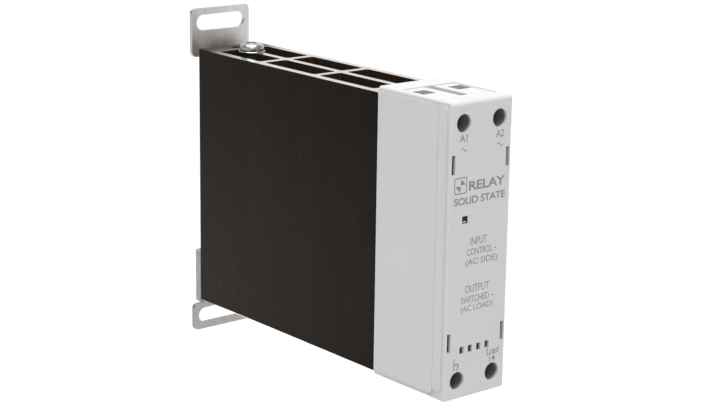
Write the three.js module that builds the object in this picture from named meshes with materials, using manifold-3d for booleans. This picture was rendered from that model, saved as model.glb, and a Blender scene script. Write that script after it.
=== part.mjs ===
// Single-phase solid state relay, 22.5 mm wide, on its own extruded heat sink.
//
// Millimetres. +X is to the right seen from the front, +Y runs back towards the wall, +Z is up.
// The origin is on the heat sink's back face, level with the middle of the mounting rail.
// The relay hangs on a 35 mm rail by its upper hook and its sprung rail clip, or is screwed to a panel
// through the two slotted ears. Turning a terminal screw draws its clamp cage forward onto the wire.

import * as THREE from 'three';
import { mergeVertices } from 'three/addons/utils/BufferGeometryUtils.js';
import Module from 'manifold-3d';

const wasm = await Module();
wasm.setup();

// Driving dimensions -------------------------------------------------------------------------

const WIDTH = 22.5;                 // standard modular width of the casing
const HALF = WIDTH / 2;
const SINK = { half: 11.15, front: -84.5, back: 0, top: 39.55, wall: 2.2, base: 4.6, block: 7.5 };
const SINK_WEBS = [-54.9, -29.3];   // Y of the two cross webs
const CASE = { front: -113.5, parting: -108.9, back: -84.6, bottom: -40.6, top: 41.2, wall: 1.3 };
const COVER_WALL = 1.2;
const COVER_FRONT = 0.8;            // the cover is thinner across its face
const POLE_X = 6.4;                 // terminals stand this far each side of the middle
const POLE_Z = 35.3;                // and this far above and below the rail's middle
const POLES = [
  { name: 'a1', x: -POLE_X, z: POLE_Z },
  { name: 'a2', x: POLE_X, z: POLE_Z },
  { name: '13', x: -POLE_X, z: -POLE_Z },
  { name: '14', x: POLE_X, z: -POLE_Z },
];
const DRIVER_HOLE = 5.0;
const BOLT_EAR = { y: 4.1, half: 10.7, inner: 36.3, outer: 51.2, corner: 1.6 };
const SLOT = { length: 17.8, width: 4.8, z: 46.7 };
const SHEET = 1.2;                  // thickness of the zinc-plated brackets
const RAIL = { half: 17.5, hook: 2.1, behind: 1.35 };  // hooks reach 2.1 behind a 1 mm rail flange
const GAP = 0.3;                    // clearance kept round a piece that fits into another

// Clamp cages and their screws, along Y.
const BAR = { front: -101.1, thick: 1.2, half: 2.2 };
const WIRE_SPACE = 4.6;
const CAGE = { front: -102.9, frontLeg: 1.5, rearLeg: 1.2, side: 0.8, inner: 2.5, half: 3.9 };
const SCREW_HEAD = { front: -107.7, depth: 1.6, radius: 2.4 };
const SCREW_THREAD_RADIUS = 1.75;

// Electronics ---------------------------------------------------------------------------------

const BOARD = { y: -103.9, thick: 1.6, half: 9.3, top: 28.5 };
const MODULE = { base: -87.4, substrate: -88.1, half: 8.2, top: 25 };

// Materials -----------------------------------------------------------------------------------

const finish = {
  casing: { color: 0xcfcfcd, roughness: 0.5, metalness: 0 },
  anodised: { color: 0x33302b, roughness: 0.42, metalness: 0.6 },
  zinc: { color: 0xb4b3b0, roughness: 0.38, metalness: 1 },
  brightScrew: { color: 0xc9cac8, roughness: 0.25, metalness: 1 },
  blackScrew: { color: 0x22211f, roughness: 0.45, metalness: 0.7 },
  board: { color: 0x1f5a38, roughness: 0.45, metalness: 0 },
  copper: { color: 0xb5714a, roughness: 0.35, metalness: 1 },
  tinned: { color: 0xb9b6ac, roughness: 0.35, metalness: 1 },
  sleeve: { color: 0x6e6c6a, roughness: 0.5, metalness: 0 },
  moulded: { color: 0x1d1d1e, roughness: 0.5, metalness: 0 },
  ceramic: { color: 0xe8e6de, roughness: 0.55, metalness: 0 },
  silicon: { color: 0x56585e, roughness: 0.25, metalness: 0.6 },
  pad: { color: 0x8d97a3, roughness: 0.8, metalness: 0 },
  film: { color: 0xb59a2c, roughness: 0.45, metalness: 0 },
  varistor: { color: 0x24508c, roughness: 0.4, metalness: 0 },
  resistor: { color: 0xc9b48c, roughness: 0.5, metalness: 0 },
  indicator: { color: 0xb9d88e, roughness: 0.25, metalness: 0 },
  smoked: { color: 0x26241f, roughness: 0.1, metalness: 0 },
  spring: { color: 0x8f908f, roughness: 0.3, metalness: 1 },
};

const part = new THREE.Group();
part.name = 'solid_state_relay';

/** Adds one named piece with a material of its own. */
function add(name, geometry, look) {
  const mesh = new THREE.Mesh(geometry, new THREE.MeshStandardMaterial(look));
  mesh.name = name;
  part.add(mesh);
  return mesh;
}

// Shapes --------------------------------------------------------------------------------------

/** A box between two corners. */
function box(x0, x1, y0, y1, z0, z1) {
  const geometry = new THREE.BoxGeometry(x1 - x0, y1 - y0, z1 - z0);
  return geometry.translate((x0 + x1) / 2, (y0 + y1) / 2, (z0 + z1) / 2);
}

/** A box centred on X. */
function slab(half, y0, y1, z0, z1) {
  return box(-half, half, y0, y1, z0, z1);
}

function axes(x, y, z) {
  return new THREE.Matrix4().makeBasis(
    new THREE.Vector3(...x),
    new THREE.Vector3(...y),
    new THREE.Vector3(...z),
  );
}

/** Extrudes a shape drawn in X and Z from y0 to y1. */
function extrudeY(shape, y0, y1, curveSegments = 6) {
  const geometry = new THREE.ExtrudeGeometry(shape, { depth: y1 - y0, bevelEnabled: false, curveSegments });
  return geometry.applyMatrix4(axes([1, 0, 0], [0, 0, 1], [0, -1, 0])).translate(0, y1, 0);
}

/** Extrudes a shape drawn in Y and Z from x0 to x1. */
function extrudeX(shape, x0, x1, curveSegments = 6) {
  const geometry = new THREE.ExtrudeGeometry(shape, { depth: x1 - x0, bevelEnabled: false, curveSegments });
  return geometry.applyMatrix4(axes([0, 1, 0], [0, 0, 1], [1, 0, 0])).translate(x0, 0, 0);
}

/** Extrudes a shape drawn in X and Y from z0 to z1. */
function extrudeZ(shape, z0, z1, curveSegments = 6) {
  const geometry = new THREE.ExtrudeGeometry(shape, { depth: z1 - z0, bevelEnabled: false, curveSegments });
  return geometry.translate(0, 0, z0);
}

/** A rectangle with round corners, in the plane it will be extruded from. */
function roundedRect(u0, u1, v0, v1, r) {
  const shape = new THREE.Shape();
  shape.moveTo(u0 + r, v0);
  shape.lineTo(u1 - r, v0);
  shape.absarc(u1 - r, v0 + r, r, -Math.PI / 2, 0, false);
  shape.lineTo(u1, v1 - r);
  shape.absarc(u1 - r, v1 - r, r, 0, Math.PI / 2, false);
  shape.lineTo(u0 + r, v1);
  shape.absarc(u0 + r, v1 - r, r, Math.PI / 2, Math.PI, false);
  shape.lineTo(u0, v0 + r);
  shape.absarc(u0 + r, v0 + r, r, Math.PI, Math.PI * 1.5, false);
  return shape;
}

function leftOf(along) {
  return new THREE.Vector2(-along.y, along.x).normalize();
}

/** The outline of a bent strip, from the corners of its middle line and the radius inside its bends. */
function bentOutline(points, thick, inner, steps = 4) {
  const middle = points.map(([u, v]) => new THREE.Vector2(u, v));
  const radius = inner + thick / 2;
  const left = [];
  const right = [];
  const put = (at, across) => {
    left.push(at.clone().addScaledVector(across, thick / 2));
    right.unshift(at.clone().addScaledVector(across, -thick / 2));
  };
  middle.forEach((corner, i) => {
    const before = middle[i - 1];
    const after = middle[i + 1];
    if (!before || !after) {
      put(corner, leftOf(before ? corner.clone().sub(before) : after.clone().sub(corner)));
      return;
    }
    const arriving = corner.clone().sub(before).normalize();
    const leaving = after.clone().sub(corner).normalize();
    const turn = Math.atan2(arriving.cross(leaving), arriving.dot(leaving));
    const side = Math.sign(turn);
    const start = corner.clone().addScaledVector(arriving, -radius * Math.tan(Math.abs(turn) / 2));
    const centre = start.addScaledVector(leftOf(arriving), side * radius);
    for (let k = 0; k <= steps; k += 1) {
      const across = leftOf(arriving).rotateAround(new THREE.Vector2(), (turn * k) / steps);
      put(centre.clone().addScaledVector(across, -side * radius), across);
    }
  });
  return new THREE.Shape([...left, ...right]);
}

/** A closed solid of revolution about Z from (radius, z) points that start and end on the axis. */
function turned(points, segments = 20) {
  return new THREE.LatheGeometry(points.map(([r, z]) => new THREE.Vector2(r, z)), segments)
    .applyMatrix4(axes([1, 0, 0], [0, 0, 1], [0, -1, 0]));
}

/** A cylinder along Y, from y0 to y1. */
function rodY(r, x, y0, y1, z, segments = 24) {
  return new THREE.CylinderGeometry(r, r, y1 - y0, segments).translate(x, (y0 + y1) / 2, z);
}

/** A cylinder along Z, from z0 to z1. */
function rodZ(r, x, y, z0, z1, segments = 24) {
  return new THREE.CylinderGeometry(r, r, z1 - z0, segments)
    .applyMatrix4(axes([1, 0, 0], [0, 0, 1], [0, -1, 0]))
    .translate(x, y, (z0 + z1) / 2);
}

/** Lays a piece turned about Z along Y instead, with its +Z end towards the front. */
function facingFront(geometry) {
  return geometry.applyMatrix4(axes([1, 0, 0], [0, 0, 1], [0, -1, 0]));
}

/** The same, with its +Z end towards the back. */
function facingBack(geometry) {
  return geometry.applyMatrix4(axes([1, 0, 0], [0, 0, -1], [0, 1, 0]));
}

// Booleans ------------------------------------------------------------------------------------

function toSolid(geometry) {
  const bare = geometry.clone();
  bare.deleteAttribute('normal');
  bare.deleteAttribute('uv');
  const merged = mergeVertices(bare, 1e-5);
  return new wasm.Manifold(new wasm.Mesh({
    numProp: 3,
    vertProperties: new Float32Array(merged.attributes.position.array),
    triVerts: new Uint32Array(merged.index.array),
  }));
}

function toGeometry(solid) {
  const mesh = solid.getMesh();
  const geometry = new THREE.BufferGeometry();
  geometry.setAttribute('position', new THREE.BufferAttribute(new Float32Array(mesh.vertProperties), 3));
  geometry.setIndex(new THREE.BufferAttribute(new Uint32Array(mesh.triVerts), 1));
  geometry.computeVertexNormals();
  return geometry;
}

function joined(...geometries) {
  return toGeometry(geometries.map(toSolid).reduce((all, next) => all.add(next)));
}

function cut(geometry, ...tools) {
  return toGeometry(tools.map(toSolid).reduce((rest, tool) => rest.subtract(tool), toSolid(geometry)));
}

function common(a, b) {
  return toGeometry(toSolid(a).intersect(toSolid(b)));
}

// Heat sink -----------------------------------------------------------------------------------

const SCREW_PORTS = [
  { y: -12, bore: 1.7, boss: 3.7 },     // earth screw, at the end of the middle wall
  { y: -3.7, bore: 1.3, boss: 0 },      // clip guide screw, in the solid rear block
];
const SPOT_FACE = { radius: 4.3, depth: 0.6 };   // flat milled for the earth screw's washer
const BASE_SCREW_Z = 31.5;              // housing screws, in the sink's base plate
const UPPER_SCREWS = { x: 4.6, z: 27 }; // upper bracket screws, in the sink's rear block
const GUIDE_SCREW_Z = -26.8;

function heatSink() {
  const profile = roundedRect(-SINK.half, SINK.half, SINK.front, SINK.back, 0.4);
  const inside = SINK.half - SINK.wall;
  const rows = [SINK.front + SINK.base, ...SINK_WEBS, SINK.back - SINK.block];
  for (let i = 0; i + 1 < rows.length; i += 1) {
    const y0 = rows[i] + (i > 0 ? SINK.wall / 2 : 0);
    const y1 = rows[i + 1] - (i < SINK_WEBS.length ? SINK.wall / 2 : 0);
    profile.holes.push(roundedRect(-inside, -SINK.wall / 2, y0, y1, 0.9));
    profile.holes.push(roundedRect(SINK.wall / 2, inside, y0, y1, 0.9));
  }
  let sink = extrudeZ(profile, -SINK.top, SINK.top, 3);
  for (const port of SCREW_PORTS) {
    if (port.boss > 0) {
      sink = joined(sink, rodZ(port.boss, 0, port.y, -SINK.top, SINK.top, 28));
    }
    sink = cut(sink, rodZ(port.bore, 0, port.y, -SINK.top - 1, SINK.top + 1, 16));
  }
  const blindHoles = [
    rodZ(SPOT_FACE.radius, 0, SCREW_PORTS[0].y, SINK.top - SPOT_FACE.depth, SINK.top + 1, 32),
    ...[-BASE_SCREW_Z, BASE_SCREW_Z].map((z) => rodY(1.8, 0, SINK.front - 1, SINK.front + 9, z, 16)),
    ...[-UPPER_SCREWS.x, UPPER_SCREWS.x].map((x) => rodY(1.55, x, -5.5, 1, UPPER_SCREWS.z, 16)),
    rodY(1.55, 0, -1.9, 1, GUIDE_SCREW_Z, 16),
  ];
  return cut(sink, ...blindHoles);
}

// Screws --------------------------------------------------------------------------------------

/** A pan-head screw with a cross recess: head up, thread down, underside of the head at Z = 0. */
function panScrew({ headRadius, headHeight, threadRadius, length, segments }) {
  const crown = [0, 18, 36, 54, 72, 90].map((degrees) => {
    const angle = THREE.MathUtils.degToRad(degrees);
    return [headRadius * (0.55 + 0.45 * Math.cos(angle)), headHeight * (0.4 + 0.55 * Math.sin(angle))];
  });
  const body = turned([
    [0, -length],
    [threadRadius * 0.7, -length],
    [threadRadius, -length + threadRadius * 0.5],
    [threadRadius, 0],
    [headRadius, 0],
    ...crown,
    [0, headHeight],
  ], segments);
  const arm = headRadius * 0.56;
  const blade = headRadius * 0.11;
  const depth = headHeight * 0.55;
  return cut(
    body,
    box(-arm, arm, -blade, blade, headHeight - depth, headHeight + 1),
    box(-blade, blade, -arm, arm, headHeight - depth, headHeight + 1),
  );
}

/** A cheese-head terminal screw with a straight slot and a cross, drawn like panScrew. */
function terminalScrew() {
  const { radius, depth } = SCREW_HEAD;
  const reach = BAR.front - GAP - (SCREW_HEAD.front + depth);
  const body = turned([
    [0, -reach],
    [SCREW_THREAD_RADIUS * 0.75, -reach],
    [SCREW_THREAD_RADIUS, -reach + 0.5],
    [SCREW_THREAD_RADIUS, 0],
    [radius, 0],
    [radius, depth - 0.25],
    [radius - 0.25, depth],
    [0, depth],
  ], 24);
  const floor = depth - 0.9;
  return cut(
    body,
    box(-radius - 1, radius + 1, -0.4, 0.4, floor, depth + 1),
    box(-0.4, 0.4, -1.5, 1.5, floor, depth + 1),
  );
}

// Casing --------------------------------------------------------------------------------------

const EDGE = { vertical: 0.5, top: 1.5, corner: 0.7 };
const LATCH = { inner: 9.1, outer: 10.3, height: 5.3, z: [24.45, -24.2] };
const SCREW_GUIDE = { inner: 2.5, outer: 3.2, back: -108 };
const SMALL_WINDOWS = { first: -4.95, pitch: 3.07, width: 1.5, height: 2.05, z: -27.05 };
const LED_WINDOW = { x: -5.05, z: 9.2, half: 1.05 };
const TOP_FIELD = { half: 9.4, depth: 0.2, back: -92.2 };
const TOP_SLOT = { half: 1.45, front: -106.4, back: -92.2, floor: 39.6, rib: 2.2 };
const WIRE_HOLE = { half: 2.3, front: -99.9, back: -95.25 };
const PANEL = { rise: 0.3, front: -112.25, top: 39.9, bottom: -38.0, rearBottom: -39.3 };

/** The casing's outer form: soft edges, a rounder front-top edge and a raised field on each side. */
function casingForm() {
  const half = HALF - PANEL.rise;
  const { front, back, bottom, top } = CASE;
  const upright = extrudeZ(roundedRect(-half, half, front, 0, EDGE.vertical), bottom, top, 4);
  const facing = extrudeY(roundedRect(-half, half, bottom, top, EDGE.corner), front - 1, back + 1, 4);
  const side = new THREE.Shape();
  side.moveTo(front + 0.6, bottom);
  side.lineTo(back, bottom);
  side.lineTo(back, top);
  side.lineTo(front + EDGE.top, top);
  side.absarc(front + EDGE.top, top - EDGE.top, EDGE.top, Math.PI / 2, Math.PI, false);
  side.lineTo(front, bottom + 0.6);
  side.absarc(front + 0.6, bottom + 0.6, 0.6, Math.PI, Math.PI * 1.5, false);
  const plain = common(common(upright, facing), extrudeX(side, -HALF - 1, HALF + 1, 5));
  return joined(plain, extrudeX(panelField(), -HALF, -half + 0.4), extrudeX(panelField(), half - 0.4, HALF));
}

/** The outline of the field that stands proud on both side faces. */
function panelField() {
  const field = new THREE.Shape();
  field.moveTo(PANEL.front + 0.8, PANEL.bottom);
  field.lineTo(CASE.parting, PANEL.bottom);
  field.lineTo(CASE.parting, PANEL.rearBottom);
  field.lineTo(CASE.back, PANEL.rearBottom);
  field.lineTo(CASE.back, PANEL.top);
  field.lineTo(PANEL.front + 0.8, PANEL.top);
  field.lineTo(PANEL.front, PANEL.top - 0.8);
  field.lineTo(PANEL.front, PANEL.bottom + 0.8);
  return field;
}

function frontCover() {
  const front = slab(HALF + 1, CASE.front - 1, CASE.parting, CASE.bottom - 1, CASE.top + 1);
  const shell = common(casingForm(), front);
  const hollow = slab(
    HALF - COVER_WALL,
    CASE.front + COVER_FRONT,
    CASE.parting + 1,
    CASE.bottom + COVER_WALL,
    CASE.top - COVER_WALL,
  );
  const tools = [hollow];
  for (const x of [-POLE_X, POLE_X]) {
    for (const z of [-POLE_Z, POLE_Z]) {
      tools.push(rodY(DRIVER_HOLE / 2, x, CASE.front - 1, CASE.front + 2, z, 32));
    }
    for (const z of LATCH.z) {
      const inner = Math.sign(x) * LATCH.inner;
      const outer = Math.sign(x) * LATCH.outer;
      tools.push(box(
        Math.min(inner, outer),
        Math.max(inner, outer),
        CASE.front - 1,
        CASE.front + 2,
        z - LATCH.height / 2,
        z + LATCH.height / 2,
      ));
    }
  }
  for (let i = 0; i < 4; i += 1) {
    const x = SMALL_WINDOWS.first + i * SMALL_WINDOWS.pitch;
    tools.push(box(
      x - SMALL_WINDOWS.width / 2,
      x + SMALL_WINDOWS.width / 2,
      CASE.front - 1,
      CASE.front + 2,
      SMALL_WINDOWS.z - SMALL_WINDOWS.height / 2,
      SMALL_WINDOWS.z + SMALL_WINDOWS.height / 2,
    ));
  }
  const { x, z, half } = LED_WINDOW;
  tools.push(box(x - half, x + half, CASE.front - 1, CASE.front + 2, z - half, z + half));
  return cut(shell, ...tools);
}

function housingBody() {
  const seam = CASE.parting + 0.08;
  const rear = slab(HALF + 1, seam, CASE.back, CASE.bottom - 1, CASE.top + 1);
  const shell = common(casingForm(), rear);
  const inside = HALF - CASE.wall;
  const hollow = slab(
    inside,
    seam - 1,
    CASE.back - 1.6,
    CASE.bottom + CASE.wall,
    CASE.top - CASE.wall,
  );
  const window = slab(MODULE.half + 0.4, CASE.back - 3, CASE.back + 1, -MODULE.top - 0.4, MODULE.top + 0.4);
  const tools = [hollow, window];
  for (const z of [-BASE_SCREW_Z, BASE_SCREW_Z]) {
    tools.push(rodY(1.9, 0, CASE.back - 3, CASE.back + 1, z, 20));
  }
  for (const x of [-POLE_X, POLE_X]) {
    const { half, front, back } = WIRE_HOLE;
    tools.push(box(x - half, x + half, front, back, CASE.top - 3, CASE.top + 1));
    tools.push(box(x - half, x + half, front, back, CASE.bottom - 1, CASE.bottom + 3));
  }
  // A shallow field in the top holds the upper wire entries, with a blind slot between them.
  const field = CASE.top - TOP_FIELD.depth;
  tools.push(slab(TOP_FIELD.half, seam - 1, TOP_FIELD.back, field, CASE.top + 1));
  // The small moulded nick at the foot of the parting line.
  tools.push(box(-HALF - 1, -HALF + 0.6, CASE.parting - 1, CASE.parting + 1.2, CASE.bottom - 1, -39));
  const roof = CASE.top - CASE.wall;
  const rib = slab(TOP_SLOT.rib, TOP_SLOT.front - 0.8, TOP_SLOT.back + 0.8, roof - 1.1, roof + 0.1);
  const slot = slab(TOP_SLOT.half, TOP_SLOT.front, TOP_SLOT.back, TOP_SLOT.floor, CASE.top);
  let body = cut(joined(cut(shell, ...tools), rib), slot);
  // A divider keeps the two poles apart above and below, and snap arms reach towards the cover's slots.
  for (const side of [-1, 1]) {
    const z0 = Math.min(side * 30.4, side * 39.95);
    const z1 = Math.max(side * 30.4, side * 39.95);
    body = joined(body, slab(0.5, CASE.parting + 1, CASE.back - 4.4, z0, z1));
    for (const z of LATCH.z) {
      const z2 = z - LATCH.height / 2 + 0.08;
      const z3 = z + LATCH.height / 2 - 0.45;
      const x0 = side > 0 ? LATCH.inner + 0.06 : -inside - 0.01;
      const x1 = side > 0 ? inside + 0.01 : -LATCH.inner - 0.06;
      body = joined(body, box(x0, x1, CASE.front + 3, CASE.parting + 4, z2, z3));
    }
  }
  return body;
}

/** A dark sleeve behind each driver hole, and a strip that blanks the small windows. */
function coverInserts() {
  const back = CASE.front + COVER_FRONT + 0.05;
  const { inner, outer } = SCREW_GUIDE;
  for (const { name, x, z } of POLES) {
    const sleeve = cut(
      rodY(outer, x, back, SCREW_GUIDE.back, z, 32),
      rodY(inner, x, back - 1, SCREW_GUIDE.back + 1, z, 32),
    );
    add(`screw_guide_${name}`, sleeve, finish.sleeve);
  }
  const { z } = SMALL_WINDOWS;
  add('window_blank', box(-6.3, 5.6, back, back + 0.5, z - 1.7, z + 1.7), finish.moulded);
}

// Terminals -----------------------------------------------------------------------------------

/** A box-shaped clamp cage: its front leg is tapped for the screw, its rear leg lifts the wire. */
function clampCage(x, z) {
  const y0 = CAGE.front;
  const y1 = BAR.front + BAR.thick + WIRE_SPACE + CAGE.rearLeg;
  const outer = CAGE.inner + CAGE.side;
  const loop = roundedRect(x - outer, x + outer, y0, y1, 0.5);
  loop.holes.push(roundedRect(x - CAGE.inner, x + CAGE.inner, y0 + CAGE.frontLeg, y1 - CAGE.rearLeg, 0.3));
  return cut(
    extrudeZ(loop, z - CAGE.half, z + CAGE.half, 3),
    rodY(SCREW_THREAD_RADIUS + GAP, x, y0 - 1, y0 + CAGE.frontLeg + 0.3, z, 20),
  );
}

/** The fixed bar inside an upper cage, with a foot that reaches forward to the circuit board. */
function inputBar(x) {
  const middle = BAR.front + BAR.thick / 2;
  const path = [[middle, POLE_Z + CAGE.half], [middle, 26.4], [BOARD.y + BOARD.thick + 0.1, 26.4]];
  return extrudeX(bentOutline(path, BAR.thick, 0.4), x - BAR.half, x + BAR.half);
}

/** The bar inside a lower cage: a bent strap that runs back and lands on the ceramic substrate. */
function loadBar(x) {
  const middle = BAR.front + BAR.thick / 2;
  const landing = MODULE.substrate - 0.05 - BAR.thick / 2;
  const path = [[middle, -POLE_Z - CAGE.half], [middle, -29.6], [landing, -29.6], [landing, -17.5]];
  return extrudeX(bentOutline(path, BAR.thick, 0.4), x - BAR.half, x + BAR.half);
}

function terminals() {
  for (const { name, x, z } of POLES) {
    add(`clamp_cage_${name}`, clampCage(x, z), finish.zinc);
    const screw = facingFront(terminalScrew());
    add(`terminal_screw_${name}`, screw, finish.zinc)
      .position.set(x, SCREW_HEAD.front + SCREW_HEAD.depth, z);
    if (z > 0) {
      add(`input_bar_${name}`, inputBar(x), finish.tinned);
    } else {
      add(`load_bar_${name}`, loadBar(x), finish.copper);
    }
  }
}

// Power module --------------------------------------------------------------------------------

const DIE = { half: 3.2, thick: 0.4, x: 3.9, z: [4, -8] };

function powerModule() {
  const { half, top, base, substrate } = MODULE;
  add('thermal_pad', slab(half, CASE.back - 0.25, SINK.front - 0.05, -top, top), finish.pad);
  add('module_base', slab(half, base, CASE.back - 0.3, -top, top), finish.copper);
  add('ceramic_substrate', slab(half - 0.7, substrate, base - 0.05, -top + 3, top - 3), finish.ceramic);
  DIE.z.forEach((z, i) => {
    const x = i === 0 ? -DIE.x : DIE.x;
    const y = substrate - 0.05;
    const die = box(x - DIE.half, x + DIE.half, y - DIE.thick, y, z - DIE.half, z + DIE.half);
    add(`thyristor_die_${i + 1}`, die, finish.silicon);
  });
  const pinPlaces = [[-6.6, 14], [-3.4, 14], [3.4, 10], [6.6, 10]];
  pinPlaces.forEach(([x, z], i) => {
    const pin = rodY(0.5, x, BOARD.y + BOARD.thick + 0.1, substrate - 0.1, z, 10);
    add(`gate_pin_${i + 1}`, pin, finish.tinned);
  });
}

// Circuit board and what stands on it -----------------------------------------------------------

function circuitBoard() {
  const { y, thick, half, top } = BOARD;
  const rear = y + thick + 0.05;
  add('circuit_board', extrudeY(roundedRect(-half, half, -top, top, 0.8), y, y + thick, 3), finish.board);

  const coupler = joined(
    box(-3.2, 3.2, rear + 0.8, rear + 4.2, 1.6, 8.8),
    ...[-2.54, 0, 2.54].flatMap((dz) => [-3.4, 3.4].map((x) => (
      box(x - 0.3, x + 0.3, rear, rear + 2.4, 5.2 + dz - 0.3, 5.2 + dz + 0.3)
    ))),
  );
  add('optocoupler', coupler, finish.moulded);

  const bridge = joined(
    box(-7.6, -1.4, rear + 0.6, rear + 3.2, 17, 23),
    ...[[-6.8, 17.8], [-2.2, 17.8], [-6.8, 22.2], [-2.2, 22.2]].map(([x, z]) => (
      box(x - 0.35, x + 0.35, rear, rear + 1, z - 0.35, z + 0.35)
    )),
  );
  add('bridge_rectifier', bridge, finish.moulded);

  const capacitor = joined(
    rodY(2.9, 4.6, rear + 0.4, rear + 8.4, 20.4, 28),
    rodY(0.35, 3.4, rear, rear + 1, 20.4, 8),
    rodY(0.35, 5.8, rear, rear + 1, 20.4, 8),
  );
  add('input_capacitor', capacitor, finish.moulded);

  const disc = joined(
    rodY(4.4, 0, rear + 1.2, rear + 4.6, -20.6, 30),
    rodY(0.4, -2.5, rear, rear + 2, -20.6, 8),
    rodY(0.4, 2.5, rear, rear + 2, -20.6, 8),
  );
  add('varistor', disc, finish.varistor);

  const snubberBox = joined(
    box(-7.9, 0.4, rear + 0.4, rear + 7.4, -9.4, -5),
    box(-7.2, -6.6, rear, rear + 1, -7.5, -6.9),
    box(-0.9, -0.3, rear, rear + 1, -7.5, -6.9),
  );
  add('snubber_capacitor', snubberBox, finish.film);

  const resistor = joined(
    rodZ(1.3, 5.2, rear + 2.4, -11.6, -5, 20),
    rodZ(0.35, 5.2, rear + 2.4, -13.4, -3.2, 8),
    rodY(0.35, 5.2, rear, rear + 2.4, -13.2, 8),
    rodY(0.35, 5.2, rear, rear + 2.4, -3.4, 8),
  );
  add('snubber_resistor', resistor, finish.resistor);

  const { x, z } = LED_WINDOW;
  add('status_led', box(x - 0.8, x + 0.8, y - 0.95, y - 0.05, z - 0.8, z + 0.8), finish.indicator);
  const lens = LED_WINDOW.half - 0.08;
  const lensFront = CASE.front + 0.3;
  const pipe = joined(
    rodY(0.75, x, CASE.front + 1.2, y - 1.1, z, 16),
    box(x - lens, x + lens, lensFront, lensFront + 0.7, z - lens, z + lens),
    box(x - lens - 0.4, x + lens + 0.4, lensFront + 0.6, lensFront + 1.2, z - lens - 0.4, z + lens + 0.4),
  );
  add('light_pipe', pipe, finish.smoked);
}

// Brackets ------------------------------------------------------------------------------------

/** A slot with round ends, drawn in X and Z, as a cutting tool through Y. */
function slotTool(z, y0, y1) {
  const half = SLOT.length / 2;
  const rise = SLOT.width / 2;
  return extrudeY(roundedRect(-half, half, z - rise, z + rise, rise - 0.01), y0, y1, 8);
}

const HOOK_Z = RAIL.half - RAIL.hook;
const BEND_INSIDE = 0.6;            // radius inside the brackets' bends

/** A slotted ear plate with four round corners; sign is +1 above the sink and -1 below it. */
function earPlate(sign) {
  const { y, half, inner, outer, corner } = BOLT_EAR;
  const z0 = Math.min(sign * inner, sign * outer);
  const z1 = Math.max(sign * inner, sign * outer);
  return extrudeY(roundedRect(-half, half, z0, z1, corner), y, y + SHEET, 6);
}

/** A strip of the brackets' sheet, bent along a middle line drawn in Y and Z. */
function strip(half, path) {
  return extrudeX(bentOutline(path, SHEET, BEND_INSIDE), -half, half);
}

function upperBracket() {
  const { y } = BOLT_EAR;
  const plane = y + SHEET / 2;
  const lip = RAIL.behind + SHEET / 2;
  const neck = strip(7.4, [[plane, 38], [plane, 35], [0.65, 32.2], [0.65, 20.4], [lip, 18.6], [lip, HOOK_Z]]);
  const holes = [-UPPER_SCREWS.x, UPPER_SCREWS.x].map((x) => rodY(1.85, x, -1, 2, UPPER_SCREWS.z, 20));
  return cut(joined(earPlate(1), neck), slotTool(SLOT.z, y - 1, y + SHEET + 1), ...holes);
}

const CLIP = { half: 10, top: -24.9, bottom: -41.2, neck: 7.1, tongue: 6.6, lip: 4.6 };
const GUIDE = { foot: 3.4, wing: 6.4, thick: 1, rise: 1.8, top: -24.6, bottom: -39.5 };
const SPRING = { bottom: -38.1, top: -29.7, y: 2.6, radius: 1.1, wire: 0.22 };

/** The sliding rail clip: a C-shaped channel with a hook above, a slotted ear below and a spring tab. */
function railClip() {
  const { y, half, outer, corner } = BOLT_EAR;
  const back = y + SHEET;
  const plane = y + SHEET / 2;
  const flange = CLIP.half - SHEET / 2;
  const lips = GAP + SHEET / 2;
  const channel = extrudeZ(bentOutline([
    [CLIP.lip, lips],
    [flange, lips],
    [flange, plane],
    [-flange, plane],
    [-flange, lips],
    [-CLIP.lip, lips],
  ], SHEET, BEND_INSIDE), CLIP.bottom, CLIP.top);
  const neck = slab(CLIP.neck, y, back, -43.6, CLIP.bottom + 0.5);
  const ear = extrudeY(roundedRect(-half, half, -outer, -42.6, corner), y, back, 6);
  const lip = RAIL.behind + SHEET / 2;
  const tongue = strip(CLIP.tongue, [[plane, CLIP.top - 1], [plane, -20.1], [lip, -17.9], [lip, -HOOK_Z]]);
  const springTab = slab(1.3, 1.8, y + 0.1, SPRING.top + 0.05, SPRING.top + 0.6);
  const window = slab(2.2, y - 1, back + 1, SPRING.bottom - 0.4, SPRING.top);
  const body = cut(joined(channel, neck, ear, tongue), window, slotTool(-SLOT.z, y - 1, back + 1));
  return joined(body, springTab);
}

/** A hat-shaped guide: its foot is screwed to the sink and its wings hold the clip's lips. */
function clipGuide() {
  const { foot, wing, thick, rise, top, bottom } = GUIDE;
  const flat = 0.05 + thick / 2;
  const raised = rise + thick / 2;
  const side = foot - thick / 2;
  const hat = bentOutline([
    [-wing, raised],
    [-side, raised],
    [-side, flat],
    [side, flat],
    [side, raised],
    [wing, raised],
  ], thick, 0.3);
  const seat = slab(1.7, 0.6, 3.8, SPRING.bottom - 1.1, SPRING.bottom - 0.1);
  const lip = slab(2.6, -6.6, 1, -SINK.top - 1.15, -SINK.top - 0.05);
  const tail = slab(2.6, 0.05, 0.05 + thick, -SINK.top - 1.1, bottom + 0.5);
  return cut(
    joined(extrudeZ(hat, bottom, top), seat, tail, lip),
    rodY(1.5, 0, -1, 3, GUIDE_SCREW_Z, 20),
    rodZ(1.6, 0, SCREW_PORTS[1].y, -SINK.top - 2, -SINK.top + 1, 20),
  );
}

const TURN_STEPS = 10;

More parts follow.
